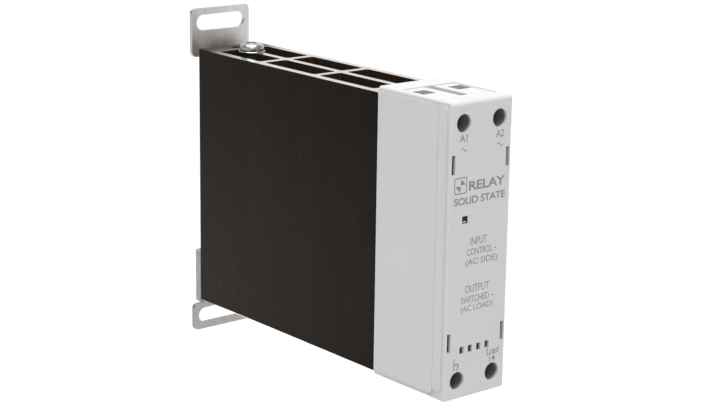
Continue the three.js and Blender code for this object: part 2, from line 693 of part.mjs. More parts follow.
/** The clip's return spring: a helical coil whose turns are worked out from its length. */
function clipSpring() {
  const turns = 6;
  const points = [];
  const steps = turns * TURN_STEPS;
  const low = SPRING.bottom + SPRING.wire + 0.05;
  const high = SPRING.top - SPRING.wire - 0.05;
  for (let i = 0; i <= steps; i += 1) {
    const angle = (i / TURN_STEPS) * Math.PI * 2;
    points.push(new THREE.Vector3(
      Math.cos(angle) * SPRING.radius,
      SPRING.y + Math.sin(angle) * SPRING.radius,
      low + (high - low) * (i / steps),
    ));
  }
  const section = new THREE.Shape();
  section.absarc(0, 0, SPRING.wire, 0, Math.PI * 2, false);
  return new THREE.ExtrudeGeometry(section, {
    steps,
    bevelEnabled: false,
    curveSegments: 3,
    extrudePath: new THREE.CatmullRomCurve3(points),
  });
}

function brackets() {
  add('upper_bracket', upperBracket(), finish.zinc);
  const bracketScrew = { headRadius: 2.7, headHeight: 1.6, threadRadius: 1.25, length: 5.6 };
  for (const [side, x] of [['left', -UPPER_SCREWS.x], ['right', UPPER_SCREWS.x]]) {
    add(`upper_bracket_screw_${side}`, facingBack(panScrew(bracketScrew)), finish.brightScrew)
      .position.set(x, 0.05 + SHEET + 0.02, UPPER_SCREWS.z);
  }
  add('rail_clip', railClip(), finish.zinc);
  add('clip_guide', clipGuide(), finish.zinc);
  const guideScrew = { headRadius: 2.1, headHeight: 1.1, threadRadius: 1.2, length: 2.6 };
  add('clip_guide_screw', facingBack(panScrew(guideScrew)), finish.brightScrew)
    .position.set(0, 0.05 + GUIDE.thick + 0.02, GUIDE_SCREW_Z);
  const lipScrew = { headRadius: 2.9, headHeight: 2.2, threadRadius: 1.0, length: 8 };
  add('guide_lip_screw', panScrew(lipScrew), finish.blackScrew)
    .applyMatrix4(axes([1, 0, 0], [0, -1, 0], [0, 0, -1]).setPosition(0, SCREW_PORTS[1].y, -SINK.top - 1.2));
  add('clip_spring', clipSpring(), finish.spring);
}

function fasteners() {
  const seat = SINK.top - SPOT_FACE.depth;
  const washer = roundedRing(4.0, 2.25, 0.8);
  washer.translate(0, SCREW_PORTS[0].y, seat + 0.02);
  add('earth_washer', washer, finish.brightScrew);
  const earth = { headRadius: 3.7, headHeight: 2.4, threadRadius: 1.4, length: 9, segments: 28 };
  add('earth_screw', panScrew(earth), finish.brightScrew)
    .position.set(0, SCREW_PORTS[0].y, seat + 0.85);
  const housingScrew = { headRadius: 2.8, headHeight: 2, threadRadius: 1.45, length: 9 };
  for (const [place, z] of [['upper', BASE_SCREW_Z], ['lower', -BASE_SCREW_Z]]) {
    add(`housing_screw_${place}`, facingFront(panScrew(housingScrew)), finish.brightScrew)
      .position.set(0, CASE.back - 1.65, z);
  }
}

/** A flat washer with softened edges, its underside at Z = 0. */
function roundedRing(outer, inner, thick) {
  const soft = 0.15;
  return new THREE.LatheGeometry([
    [inner, 0],
    [outer - soft, 0],
    [outer, soft],
    [outer, thick - soft],
    [outer - soft, thick],
    [inner, thick],
    [inner, 0],
  ].map(([r, z]) => new THREE.Vector2(r, z)), 24).applyMatrix4(axes([1, 0, 0], [0, 0, 1], [0, -1, 0]));
}

add('heat_sink', heatSink(), finish.anodised);
add('housing_body', housingBody(), finish.casing);
add('front_cover', frontCover(), finish.casing);
coverInserts();
terminals();
powerModule();
circuitBoard();
brackets();
fasteners();

export default part;
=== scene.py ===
import math

import bpy
from bpy.props import FloatProperty, FloatVectorProperty, IntProperty, PointerProperty
from mathutils import Matrix, Vector


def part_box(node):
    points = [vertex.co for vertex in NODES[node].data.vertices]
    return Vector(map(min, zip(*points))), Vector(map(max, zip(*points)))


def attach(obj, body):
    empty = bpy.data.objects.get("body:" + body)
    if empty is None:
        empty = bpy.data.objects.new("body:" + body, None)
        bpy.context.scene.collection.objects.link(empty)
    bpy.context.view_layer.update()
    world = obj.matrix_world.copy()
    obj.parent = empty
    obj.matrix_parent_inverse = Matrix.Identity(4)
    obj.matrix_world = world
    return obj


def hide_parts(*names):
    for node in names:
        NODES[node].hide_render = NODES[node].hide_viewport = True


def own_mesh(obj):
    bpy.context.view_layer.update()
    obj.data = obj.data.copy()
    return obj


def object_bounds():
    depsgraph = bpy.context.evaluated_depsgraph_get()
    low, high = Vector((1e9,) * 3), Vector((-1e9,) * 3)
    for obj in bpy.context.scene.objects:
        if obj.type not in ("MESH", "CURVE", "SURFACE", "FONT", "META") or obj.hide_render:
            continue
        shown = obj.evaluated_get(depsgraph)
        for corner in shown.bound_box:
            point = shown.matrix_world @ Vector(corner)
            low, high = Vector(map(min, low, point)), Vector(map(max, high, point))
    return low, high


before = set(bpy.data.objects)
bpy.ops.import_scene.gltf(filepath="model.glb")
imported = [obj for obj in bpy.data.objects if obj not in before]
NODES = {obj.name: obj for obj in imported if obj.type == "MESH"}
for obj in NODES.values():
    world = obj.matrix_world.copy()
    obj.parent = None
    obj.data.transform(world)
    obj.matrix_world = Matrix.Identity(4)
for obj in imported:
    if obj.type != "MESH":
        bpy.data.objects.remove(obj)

CAD_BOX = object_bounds()
MM = 0.001
POLES = ("a1", "a2", "13", "14")

bl_info = {
    "name": "Solid State Relay Finishes",
    "version": (1, 0, 0),
    "blender": (4, 5, 0),
    "location": "3D Viewport > Sidebar > Relay",
    "description": "Finishes, fasteners, markings and a studio for a slim DIN-rail solid state relay",
    "category": "Object",
}


def to_linear(code):
    """The linear RGBA of an sRGB hex colour."""
    values = []
    for start in (1, 3, 5):
        value = int(code[start:start + 2], 16) / 255
        values.append(value / 12.92 if value <= 0.04045 else ((value + 0.055) / 1.055) ** 2.4)
    return (*values, 1.0)


def colour_property(name, description, code):
    return FloatVectorProperty(
        name=name, description=description, subtype="COLOR", size=4, min=0, max=1,
        default=to_linear(code),
    )


def length_property(name, description, millimetres):
    return FloatProperty(
        name=name, description=description, default=millimetres * MM, min=0, unit="LENGTH", precision=5,
    )


# Settings a user would change ------------------------------------------------------------------


class RelayColours(bpy.types.PropertyGroup):
    """Colours of the surfaces that show."""

    casing: colour_property("Casing", "Moulded polyamide of the casing", "#c5c5c5")
    sink: colour_property("Heat sink", "Dyed oxide on the heat sink", "#140c06")
    cut: colour_property("Saw-cut aluminium", "Bare ends of the heat sink", "#e0dbd6")
    zinc: colour_property("Zinc sheet", "Plating on the brackets and the rail clip", "#eeece9")
    screw: colour_property("Zinc screws", "Brighter plating on the screws", "#d3d5d3")
    ink: colour_property("Ink", "Printed markings", "#7f7f7c")
    board: colour_property("Solder mask", "Lacquer on the circuit board", "#17472c")
    floor: colour_property("Floor", "Studio floor", "#d2d2d2")


class RelaySizes(bpy.types.PropertyGroup):
    """Sizes that the CAD leaves to the finish."""

    plastic_edge: length_property("Moulded edge", "Radius on the casing's edges", 0.09)
    metal_edge: length_property("Metal edge", "Radius on extruded and stamped edges", 0.1)
    fine_edge: length_property("Fine edge", "Radius on the small inner pieces", 0.06)
    ink_depth: length_property("Ink film", "How far the markings stand proud", 0.012)
    spring_wire: length_property("Spring wire", "Radius of the clip spring's wire", 0.21)
    turns: IntProperty(
        name="Spring turns", description="Turns of the clip spring", default=6, min=3, max=12)


class RelayStudio(bpy.types.PropertyGroup):
    """The floor and the lights."""

    drop: length_property("Floor drop", "Gap between the relay's lowest point and the floor", 110)
    dome: FloatProperty(
        name="Dome", description="Brightness of the white surround", default=0.3, min=0, max=4)
    backdrop: FloatProperty(
        name="Backdrop", description="Brightness of the surround behind the relay", default=0.92,
        min=0, max=4)
    overhead: FloatProperty(
        name="Overhead", description="Strength of the broad light above", default=3.9, min=0, max=20)
    key: FloatProperty(
        name="Key", description="Power of the soft light at the front left", default=0.75, min=0,
        unit="POWER")
    sheen: FloatProperty(
        name="Sheen", description="Power of the low light that only shines in the metal", default=0.09, min=0,
        unit="POWER")


# Building blocks -------------------------------------------------------------------------------


def add_node(tree, kind, inputs=None, **settings):
    """Adds a node; an input is a plain value or another node's output."""
    made = tree.nodes.new(kind)
    for name, value in settings.items():
        setattr(made, name, value)
    for key, value in (inputs or {}).items():
        if isinstance(value, bpy.types.NodeSocket):
            tree.links.new(value, made.inputs[key])
        else:
            made.inputs[key].default_value = value
    return made


def new_material(name, **constants):
    """A material with one Principled shader, its constants given by socket name with _ for a space."""
    material = bpy.data.materials.new(name)
    material.use_nodes = True
    tree = material.node_tree
    shader = tree.nodes["Principled BSDF"]
    for key, value in constants.items():
        shader.inputs[key.replace("_", " ")].default_value = value
    return material, tree, shader


def speckle(tree, size, detail=2.0, stretch=(1, 1, 1)):
    """Noise over the surface with features of about size millimetres, drawn longer along an axis."""
    place = add_node(tree, "ShaderNodeTexCoord")
    scaled = add_node(tree, "ShaderNodeMapping", {
        "Vector": place.outputs["Object"],
        "Scale": [1 / (size * MM * s) for s in stretch],
    })
    return add_node(tree, "ShaderNodeTexNoise", {
        "Vector": scaled.outputs["Vector"], "Scale": 1.0, "Detail": detail,
    }).outputs["Fac"]


def overlaid(tree, base, layers):
    """A base colour with other colours laid over it in turn, each where its mask is 1."""
    for mask, colour in layers:
        # A mix node keeps its colour inputs in places 6 and 7, and its colour output in place 2.
        base = add_node(tree, "ShaderNodeMix", {
            "Factor": mask, 6: base, 7: colour,
        }, data_type="RGBA").outputs[2]
    return base


def between(tree, noise, low, high):
    """A number or a colour that goes from low to high with a noise, which sits around a half."""
    ends = (low, high) if isinstance(low, (int, float)) else (0, 1)
    share = add_node(tree, "ShaderNodeMapRange", {
        "Value": noise, "From Min": 0.3, "From Max": 0.7, "To Min": ends[0], "To Max": ends[1],
    }).outputs["Result"]
    return share if ends == (low, high) else overlaid(tree, low, [(share, high)])


def shaded(colour, amount):
    """A colour made lighter (above 1) or darker (below 1)."""
    return (*[min(1.0, channel * amount) for channel in colour[:3]], 1.0)


def vary(tree, shader, tint=None, shine=None, relief=None):
    """Makes a surface uneven: tint and shine are a noise with its low and high colour or roughness, and
    relief is a height pattern with its depth in millimetres and its strength."""
    for socket, change in (("Base Color", tint), ("Roughness", shine)):
        if change:
            tree.links.new(between(tree, *change), shader.inputs[socket])
    if relief:
        pattern, depth, strength = relief
        bump = add_node(tree, "ShaderNodeBump", {
            "Height": pattern, "Distance": depth * MM, "Strength": strength,
        })
        tree.links.new(bump.outputs["Normal"], shader.inputs["Normal"])


# Materials -------------------------------------------------------------------------------------


def moulded_polyamide(colour):
    """Glass-filled polyamide, moulded in a spark-eroded tool: an even satin with faint flow marks."""
    material, tree, shader = new_material("moulded polyamide, light grey", IOR=1.53)
    # The tool's 0.05 mm grit is too fine to see, so it is drawn at 0.3 mm.
    grit = speckle(tree, 0.3, 3)
    flow = speckle(tree, 14, 2, (1, 1, 1.8))
    vary(tree, shader, (flow, shaded(colour, 0.975), colour), (flow, 0.44, 0.54), (grit, 0.006, 0.6))
    return material


def anodised_aluminium(colour, bare, top, flank, webs):
    """Extruded aluminium dyed dark and sawn to length: satin flanks with die lines, bright bare ends."""
    material, tree, shader = new_material("anodised aluminium, extruded", Metallic=1.0)
    # The die's 0.1 mm lines are too fine to see, so they are drawn at 0.55 mm.
    die_lines = speckle(tree, 0.55, 2, (1, 1, 120))
    cloud = speckle(tree, 16, 2, (1, 1, 3))
    where = add_node(tree, "ShaderNodeSeparateXYZ", {
        "Vector": add_node(tree, "ShaderNodeTexCoord").outputs["Object"],
    })
    # The cross webs read through the flanks as faint upright bands 4 mm wide.
    band = None
    for y in webs:
        gap = add_node(tree, "ShaderNodeMath", {0: where.outputs["Y"], 1: y}, operation="SUBTRACT")
        near = add_node(tree, "ShaderNodeMapRange", {
            "Value": add_node(tree, "ShaderNodeMath", {0: gap.outputs[0]}, operation="ABSOLUTE").outputs[0],
            "From Min": 1.2 * MM, "From Max": 2.6 * MM, "To Min": 1.0, "To Max": 0.0,
        }, interpolation_type="SMOOTHSTEP").outputs["Result"]
        band = near if band is None else add_node(
            tree, "ShaderNodeMath", {0: band, 1: near}, operation="MAXIMUM").outputs[0]
    satin = add_node(tree, "ShaderNodeMath", {
        0: between(tree, die_lines, 0.4, 0.48), 1: between(tree, cloud, -0.02, 0.02),
    }, operation="ADD").outputs[0]
    # Inside the cells the oxide is painted four times paler and drawn as a matt non-metal: painted light that
    # stands in for the light falling on the cell walls.
    inside = add_node(tree, "ShaderNodeMath", {
        0: add_node(tree, "ShaderNodeMath", {0: where.outputs["X"]}, operation="ABSOLUTE").outputs[0],
        1: flank,
    }, operation="LESS_THAN").outputs[0]
    # Dust shows as a few pale specks 0.3 mm wide.
    dust = add_node(tree, "ShaderNodeMapRange", {
        "Value": speckle(tree, 0.9, 1), "From Min": 0.74, "From Max": 0.79,
    }).outputs["Result"]
    # The saw leaves the last tenth of a millimetre bare, with marks drawn 0.35 mm apart.
    height = add_node(tree, "ShaderNodeMath", {0: where.outputs["Z"]}, operation="ABSOLUTE").outputs[0]
    cut_off = add_node(tree, "ShaderNodeMath", {0: height, 1: top - 0.08 * MM}, operation="GREATER_THAN")
    # Near the upright bracket the sawn ends keep the dark dyed colour as painted shade, and the painted shade
    # fades towards the front.
    clear_of_painted_shade = add_node(tree, "ShaderNodeMapRange", {
        "Value": where.outputs["Y"], "From Min": -5 * MM, "From Max": -18 * MM,
    }).outputs["Result"]
    end = add_node(tree, "ShaderNodeMath", {0: cut_off.outputs[0], 1: clear_of_painted_shade}, operation="MULTIPLY").outputs[0]
    sawn = speckle(tree, 0.35, 3, (14, 1, 1))
    dyed = between(tree, cloud, shaded(colour, 0.9), shaded(colour, 1.12))
    # The paler cell insides in this mix are painted light.
    tone = overlaid(tree, dyed, (
        (band, shaded(colour, 1.18)), (inside, shaded(colour, 4)), (dust, shaded(colour, 7)),
        (end, between(tree, sawn, shaded(bare, 0.9), bare)),
    ))
    tree.links.new(tone, shader.inputs["Base Color"])
    # Where light is painted inside the cells, the surface is drawn as no metal.
    shine = add_node(tree, "ShaderNodeMath", {0: 1.0, 1: inside}, operation="SUBTRACT").outputs[0]
    bare_or_dyed = add_node(tree, "ShaderNodeMath", {0: shine, 1: end}, operation="MAXIMUM")
    tree.links.new(bare_or_dyed.outputs[0], shader.inputs["Metallic"])
    rough = add_node(tree, "ShaderNodeMix", {
        "Factor": end, "A": satin, "B": between(tree, sawn, 0.13, 0.2),
    }, data_type="FLOAT").outputs["Result"]
    tree.links.new(rough, shader.inputs["Roughness"])
    marks = add_node(tree, "ShaderNodeMix", {"Factor": end, "A": die_lines, "B": sawn}, data_type="FLOAT")
    vary(tree, shader, relief=(marks.outputs["Result"], 0.008, 0.5))
    return material


def zinc_sheet(name, colour):
    """Cold-rolled strip, zinc plated: a clouded grey with rolling streaks and a soft shine."""
    material, tree, shader = new_material(name, Metallic=1.0)
    cloud = speckle(tree, 3.2, 3, (1, 1, 2))
    # The roll's streaks are finer than 0.2 mm, so they are drawn at 0.7 mm.
    streak = speckle(tree, 0.7, 2, (1, 1, 16))
    # Faces that point sideways, the sheared edges and the flanks of the channel, are painted darker: partly
    # the duller sheared edges, partly painted shade for the bright reflection they would catch.
    facing = add_node(tree, "ShaderNodeSeparateXYZ", {
        "Vector": add_node(tree, "ShaderNodeTexCoord").outputs["Normal"],
    }).outputs["X"]
    side = add_node(tree, "ShaderNodeMapRange", {
        "Value": add_node(tree, "ShaderNodeMath", {0: facing}, operation="ABSOLUTE").outputs[0],
        "From Min": 0.5, "From Max": 0.9,
    }).outputs["Result"]
    clouded = between(tree, cloud, shaded(colour, 0.82), shaded(colour, 1.1))
    # The streaks are the sheet's own; the darker sideways faces are painted shade.
    tone = overlaid(tree, clouded, (
        (between(tree, streak, 0, 0.7), shaded(colour, 0.84)), (side, shaded(colour, 0.58)),
    ))
    tree.links.new(tone, shader.inputs["Base Color"])
    vary(tree, shader, shine=(cloud, 0.42, 0.56), relief=(streak, 0.006, 0.4))
    return material


def zinc_screw(colour):
    """Cold-headed steel, bright zinc and clear passivated: a bright shine with a faint cool tint."""
    material, tree, shader = new_material("zinc-plated steel, cold headed", Metallic=1.0)
    stain = speckle(tree, 1.1, 3)
    vary(tree, shader, (stain, shaded(colour, 0.82), colour), (stain, 0.2, 0.3), (stain, 0.004, 0.3))
    return material


def plain_metal(name, code, rough, mark=0.4, stretch=(1, 1, 1)):
    """A small bare or plated metal piece whose colour and shine waver with its forming marks."""
    colour = to_linear(code)
    material, tree, shader = new_material(name, Metallic=1.0)
    forming = speckle(tree, mark, 3, stretch)
    shine = (forming, rough - 0.06, rough + 0.06)
    vary(tree, shader, (forming, shaded(colour, 0.8), colour), shine, (forming, 0.004, 0.5))
    return material


def plain_body(name, colour, rough, ior, grain=0.3, depth=0.006, **constants):
    """A small non-metal piece with the grain of how it was cast, pressed or dipped."""
    colour = to_linear(colour) if isinstance(colour, str) else colour
    material, tree, shader = new_material(name, IOR=ior, **constants)
    cast = speckle(tree, grain, 3)
    cloud = speckle(tree, 2.5, 2)
    shine = (cast, rough - 0.05, rough + 0.05)
    vary(tree, shader, (cloud, shaded(colour, 0.85), colour), shine, (cast, depth, 0.5))
    return material


def solder_mask(colour):
    """FR-4 laminate under green lacquer: tracks show as lighter lines, and the weave ripples the shine."""
    material, tree, shader = new_material("glass-epoxy laminate, lacquered", IOR=1.52)
    place = add_node(tree, "ShaderNodeTexCoord").outputs["Object"]
    tracks = add_node(tree, "ShaderNodeTexBrick", {
        "Vector": add_node(tree, "ShaderNodeMapping", {
            "Vector": place, "Rotation": (math.pi / 2, 0, 0), "Scale": [1 / MM] * 3,
        }).outputs["Vector"],
        "Color1": colour, "Color2": shaded(colour, 0.85), "Mortar": to_linear("#3f8a58"),
        # In millimetres: tracks 0.44 wide, 2.54 apart, with a cross track every 5.2.
        "Scale": 1.0, "Mortar Size": 0.22, "Brick Width": 5.2, "Row Height": 2.54,
    })
    weave = speckle(tree, 0.4, 1)
    tree.links.new(tracks.outputs["Color"], shader.inputs["Base Color"])
    vary(tree, shader, shine=(weave, 0.22, 0.32), relief=(tracks.outputs["Fac"], 0.03, 0.6))
    return material


def banded_lacquer(code, bands, centre):
    """Lacquered film resistor: a beige body with its colour code in 0.5 mm rings about centre, in Z."""
    material, tree, shader = new_material("resistor lacquer, dipped", IOR=1.5, Roughness=0.3)
    place = add_node(tree, "ShaderNodeSeparateXYZ", {
        "Vector": add_node(tree, "ShaderNodeTexCoord").outputs["Object"],
    })
    layers = []
    for offset, ring in bands:
        gap = add_node(tree, "ShaderNodeMath", {
            0: place.outputs["Z"], 1: (centre + offset) * MM,
        }, operation="SUBTRACT").outputs[0]
        on = add_node(tree, "ShaderNodeMath", {
            0: add_node(tree, "ShaderNodeMath", {0: gap}, operation="ABSOLUTE").outputs[0],
            1: 0.25 * MM,
        }, operation="LESS_THAN").outputs[0]
        layers.append((on, to_linear(ring)))
    tree.links.new(overlaid(tree, to_linear(code), layers), shader.inputs["Base Color"])
    vary(tree, shader, relief=(speckle(tree, 0.8, 2), 0.01, 0.4))
    return material


# Shaping the CAD nodes' edges --------------------------------------------------------------------

SAME_FLAT = math.radians(1)      # facets closer than this make one flat
SAME_CURVE = math.radians(35)    # edges flatter than this are shaded as part of a curve
EDGE_TO_ROUND = math.radians(40)    # edges sharper than this are rounded
SAME_POINT = 1e-6                # metres


def smoothing_group():
    """A node group that drops stored normals and smooths every edge flatter than 35 degrees."""
    name = "smooth under 35 degrees"
    if name in bpy.data.node_groups:
        return bpy.data.node_groups[name]
    tree = bpy.data.node_groups.new(name, "GeometryNodeTree")
    tree.interface.new_socket("Geometry", in_out="INPUT", socket_type="NodeSocketGeometry")
    tree.interface.new_socket("Geometry", in_out="OUTPUT", socket_type="NodeSocketGeometry")
    entry = add_node(tree, "NodeGroupInput")
    bare = add_node(tree, "GeometryNodeRemoveAttribute", {
        "Geometry": entry.outputs[0], "Name": "custom_normal",
    })
    faces = add_node(tree, "GeometryNodeSetShadeSmooth", {
        "Geometry": bare.outputs[0], "Shade Smooth": True,
    }, domain="FACE")
    sharp = add_node(tree, "FunctionNodeCompare", {
        0: add_node(tree, "GeometryNodeInputMeshEdgeAngle").outputs["Unsigned Angle"],
        1: SAME_CURVE,
    }, operation="GREATER_THAN")
    edges = add_node(tree, "GeometryNodeSetShadeSmooth", {
        "Geometry": faces.outputs[0], "Selection": sharp.outputs[0], "Shade Smooth": False,
    }, domain="EDGE")
    add_node(tree, "NodeGroupOutput", {0: edges.outputs[0]})
    return tree


def soften(name, width, segments=2):
    """Welds a CAD node's facets, rounds its edges and shades its curves smoothly."""
    piece = NODES[name]
    weld = piece.modifiers.new("weld", "WELD")
    weld.merge_threshold = SAME_POINT
    flat = piece.modifiers.new("flat faces", "DECIMATE")
    flat.decimate_type = "DISSOLVE"
    flat.angle_limit = SAME_FLAT
    bevel = piece.modifiers.new("soft edges", "BEVEL")
    bevel.width = width
    bevel.segments = segments
    bevel.limit_method = "ANGLE"
    bevel.angle_limit = EDGE_TO_ROUND
    smooth = piece.modifiers.new("smooth curves", "NODES")
    smooth.node_group = smoothing_group()
    weighted = piece.modifiers.new("true flats", "WEIGHTED_NORMAL")
    weighted.keep_sharp = True


def finish(names, material, width, segments=2):
    """Gives CAD nodes a material and soft edges."""
    for name in names:
        piece = NODES[name]
        piece.data.materials.clear()
        piece.data.materials.append(material)
        soften(name, width, segments)


def add_piece(name, vertices, faces, material, body="relay_body", smooth=True):
    """A new piece in the row frame, from points in millimetres, riding on a body."""
    mesh = bpy.data.meshes.new(name)
    mesh.from_pydata([[c * MM for c in v] for v in vertices], [], faces)
    mesh.validate()
    mesh.materials.append(material)
    if smooth:
        mesh.shade_smooth()
    piece = bpy.data.objects.new(name, mesh)
    bpy.context.scene.collection.objects.link(piece)
    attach(piece, body)
    return piece


# Operators ---------------------------------------------------------------------------------------

SINK_WEBS = (-29.3 * MM, -54.9 * MM, -74 * MM)    # where the heat sink's cross webs stand, along Y
SINK_WALL = 1 * MM                                # deeper into the flanks than this is inside the cells
RESISTOR_CENTRE = -8.3                            # in Z, millimetres
RESISTOR_RINGS = ((-2.0, "#6b3a1c"), (-1.1, "#1c1a18"), (-0.2, "#c0701e"), (2.0, "#b59a2c"))


def colours(context):
    """The colours set in the sidebar."""
    return context.scene.relay_colours


def sizes(context):
    """The sizes set in the sidebar."""
    return context.scene.relay_sizes


class RELAY_OT_casing(bpy.types.Operator):
    """Give the casing, its front cover and the inserts behind it their moulded finish"""

    bl_idname = "relay.casing"
    bl_label = "Casing"

    def execute(self, context):
        plastic = moulded_polyamide(tuple(colours(context).casing))
        finish(("housing_body", "front_cover"), plastic, sizes(context).plastic_edge, 3)
        sleeve = plain_body("dark grey polyamide, moulded", "#7c7a77", 0.5, 1.53)
        finish([f"screw_guide_{pole}" for pole in POLES], sleeve, sizes(context).fine_edge)
        blank = plain_body("black polyamide strip, punched", "#161616", 0.5, 1.53)
        finish(("window_blank",), blank, sizes(context).fine_edge)
        return {"FINISHED"}


class RELAY_OT_heat_sink(bpy.types.Operator):
    """Give the heat sink its anodised flanks and saw-cut ends"""

    bl_idname = "relay.heat_sink"
    bl_label = "Heat sink"

    def execute(self, context):
        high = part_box("heat_sink")[1]
        metal = anodised_aluminium(
            tuple(colours(context).sink), tuple(colours(context).cut), high.z, high.x - SINK_WALL, SINK_WEBS)
        finish(("heat_sink",), metal, sizes(context).metal_edge)
        return {"FINISHED"}


class RELAY_OT_brackets(bpy.types.Operator):
    """Plate the upper bracket, the rail clip and its guide"""

    bl_idname = "relay.brackets"
    bl_label = "Brackets and rail clip"

    def execute(self, context):
        plating = tuple(colours(context).zinc)
        bright = zinc_sheet("zinc-plated steel, rolled sheet", plating)
        finish(("upper_bracket",), bright, sizes(context).metal_edge)
        # The clip and its guide are painted 0.57 times as dark as the fixed bracket: painted shade on the
        # pieces at the foot.
        zinc_in_painted_shade = zinc_sheet("zinc-plated steel, sheet in painted shade", shaded(plating, 0.57))
        finish(("rail_clip", "clip_guide"), zinc_in_painted_shade, sizes(context).metal_edge)
        return {"FINISHED"}


class RELAY_OT_terminals(bpy.types.Operator):
    """Finish the clamp cages, their screws and the bars they clamp to"""

    bl_idname = "relay.terminals"
    bl_label = "Terminals"

    def execute(self, context):
        edge = sizes(context).fine_edge
        cage = plain_metal("zinc-plated steel, bent cage", "#c9c7c2", 0.38, 0.5)
        screw = plain_metal("zinc-plated steel, turned screw", "#9a9a96", 0.32, 0.3)
        tin = plain_metal("tinned copper, stamped", "#b9b6ac", 0.34, 0.5, (1, 1, 6))
        copper = plain_metal("copper, stamped", "#b5714a", 0.34, 0.5, (1, 1, 6))
        finish([f"clamp_cage_{pole}" for pole in POLES], cage, edge)
        finish([f"terminal_screw_{pole}" for pole in POLES], screw, edge)
        finish(("input_bar_a1", "input_bar_a2"), tin, edge)
        finish(("load_bar_13", "load_bar_14"), copper, edge)
        return {"FINISHED"}


class RELAY_OT_power_module(bpy.types.Operator):
    """Finish the pad, base, ceramic, dice and gate pins of the power module"""

    bl_idname = "relay.power_module"
    bl_label = "Power module"

    def execute(self, context):
        edge = sizes(context).fine_edge
        pad = plain_body("silicone thermal pad, calendered", "#8d97a3", 0.75, 1.41, 0.5)
        finish(("thermal_pad",), pad, edge)
        finish(("module_base",), plain_metal("copper base, milled", "#b5714a", 0.3, 0.4, (8, 1, 1)), edge)
        finish(("ceramic_substrate",), plain_body("alumina, sintered", "#e8e6de", 0.5, 1.76, 0.2), edge)
        dice = plain_metal("silicon, polished die", "#5a5d66", 0.16, 1.5)
        finish(("thyristor_die_1", "thyristor_die_2"), dice, edge)
        pins = plain_metal("tinned brass pin, turned", "#b9b6ac", 0.3, 0.3)
        finish([f"gate_pin_{i}" for i in range(1, 5)], pins, edge)
        return {"FINISHED"}


# The pale bar in the indicator window, in millimetres; the corner is a share of the half sizes.
PIP = {"drop": 0.6, "half_width": 0.5, "half_height": 0.15, "corner": 0.6, "sunk": 0.05, "proud": 0.03}


class RELAY_OT_electronics(bpy.types.Operator):
    """Finish the circuit board and the parts that stand on it"""

    bl_idname = "relay.electronics"
    bl_label = "Circuit board"

    def execute(self, context):
        edge = sizes(context).fine_edge
        finish(("circuit_board",), solder_mask(tuple(colours(context).board)), edge)
        epoxy = plain_body("epoxy moulding compound", "#1d1d1e", 0.5, 1.57, 0.2)
        finish(("optocoupler", "bridge_rectifier"), epoxy, edge)
        sleeve = plain_body("shrunk sleeve, black", "#1a1b22", 0.3, 1.52, 0.8)
        finish(("input_capacitor",), sleeve, edge)
        finish(("varistor",), plain_body("blue epoxy, dipped", "#24508c", 0.35, 1.55, 1.2, 0.02), edge)
        finish(("snubber_capacitor",), plain_body("polypropylene box, moulded", "#b59a2c", 0.4, 1.49), edge)
        lacquer = banded_lacquer("#c9b48c", RESISTOR_RINGS, RESISTOR_CENTRE)
        finish(("snubber_resistor",), lacquer, edge)
        finish(("status_led",), plain_body("indicator lens, diffused", "#c9dca8", 0.25, 1.54, 0.6), edge)
        smoked = plain_body(
            "smoked polycarbonate, moulded", "#0b0a09", 0.3, 1.58, 1.0, 0.003, Specular_IOR_Level=0.2)
        finish(("light_pipe",), smoked, edge)
        self.pip(*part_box("light_pipe"))
        return {"FINISHED"}

    @staticmethod
    def pip(low, high):
        """A pale bar at the foot of the indicator window, where light leaves the pipe."""
        x, z, front = (low.x + high.x) / 2 / MM, (low.z + high.z) / 2 / MM - PIP["drop"], low.y / MM
        outline = square_outline(1, PIP["corner"])
        points = [
            (x + across * PIP["half_width"], depth, z + up * PIP["half_height"])
            for depth in (front + PIP["sunk"], front - PIP["proud"])
            for across, up in outline
        ]
        count = len(outline)
        faces = ring_faces(2, count, closed=False)
        faces += [tuple(reversed(range(count))), tuple(range(count, 2 * count))]
        pale = plain_body("clear polycarbonate, moulded", "#d8dad2", 0.3, 1.58, 0.4, 0.003)
        add_piece("indicator_pip", points, faces, pale, smooth=False)


class RELAY_OT_screws(bpy.types.Operator):
    """Plate the small screws"""

    bl_idname = "relay.screws"
    bl_label = "Small screws"

    def execute(self, context):
        edge = sizes(context).fine_edge
        bright = zinc_screw(tuple(colours(context).screw))
        finish((
            "upper_bracket_screw_left", "upper_bracket_screw_right", "clip_guide_screw",
            "housing_screw_upper", "housing_screw_lower",
        ), bright, edge)
        black = plain_metal("blackened steel, cold headed", "#3a3733", 0.42, 0.4)
        finish(("guide_lip_screw",), black, edge)
        return {"FINISHED"}


def ring_faces(rows, count, closed=True):
    """Quads between rows of points around an axis."""
    faces = []
    for row in range(rows - 1 + closed):
        for i in range(count):
            j = (i + 1) % count
            a, b = row * count, ((row + 1) % rows) * count
            faces.append((a + i, a + j, b + j, b + i))
    return faces


FLAT_TURNS = 0.8     # turns at each end of the spring that lie nearly flat
CREEP = 0.06         # the share of the spring's height that the flat turns also climb


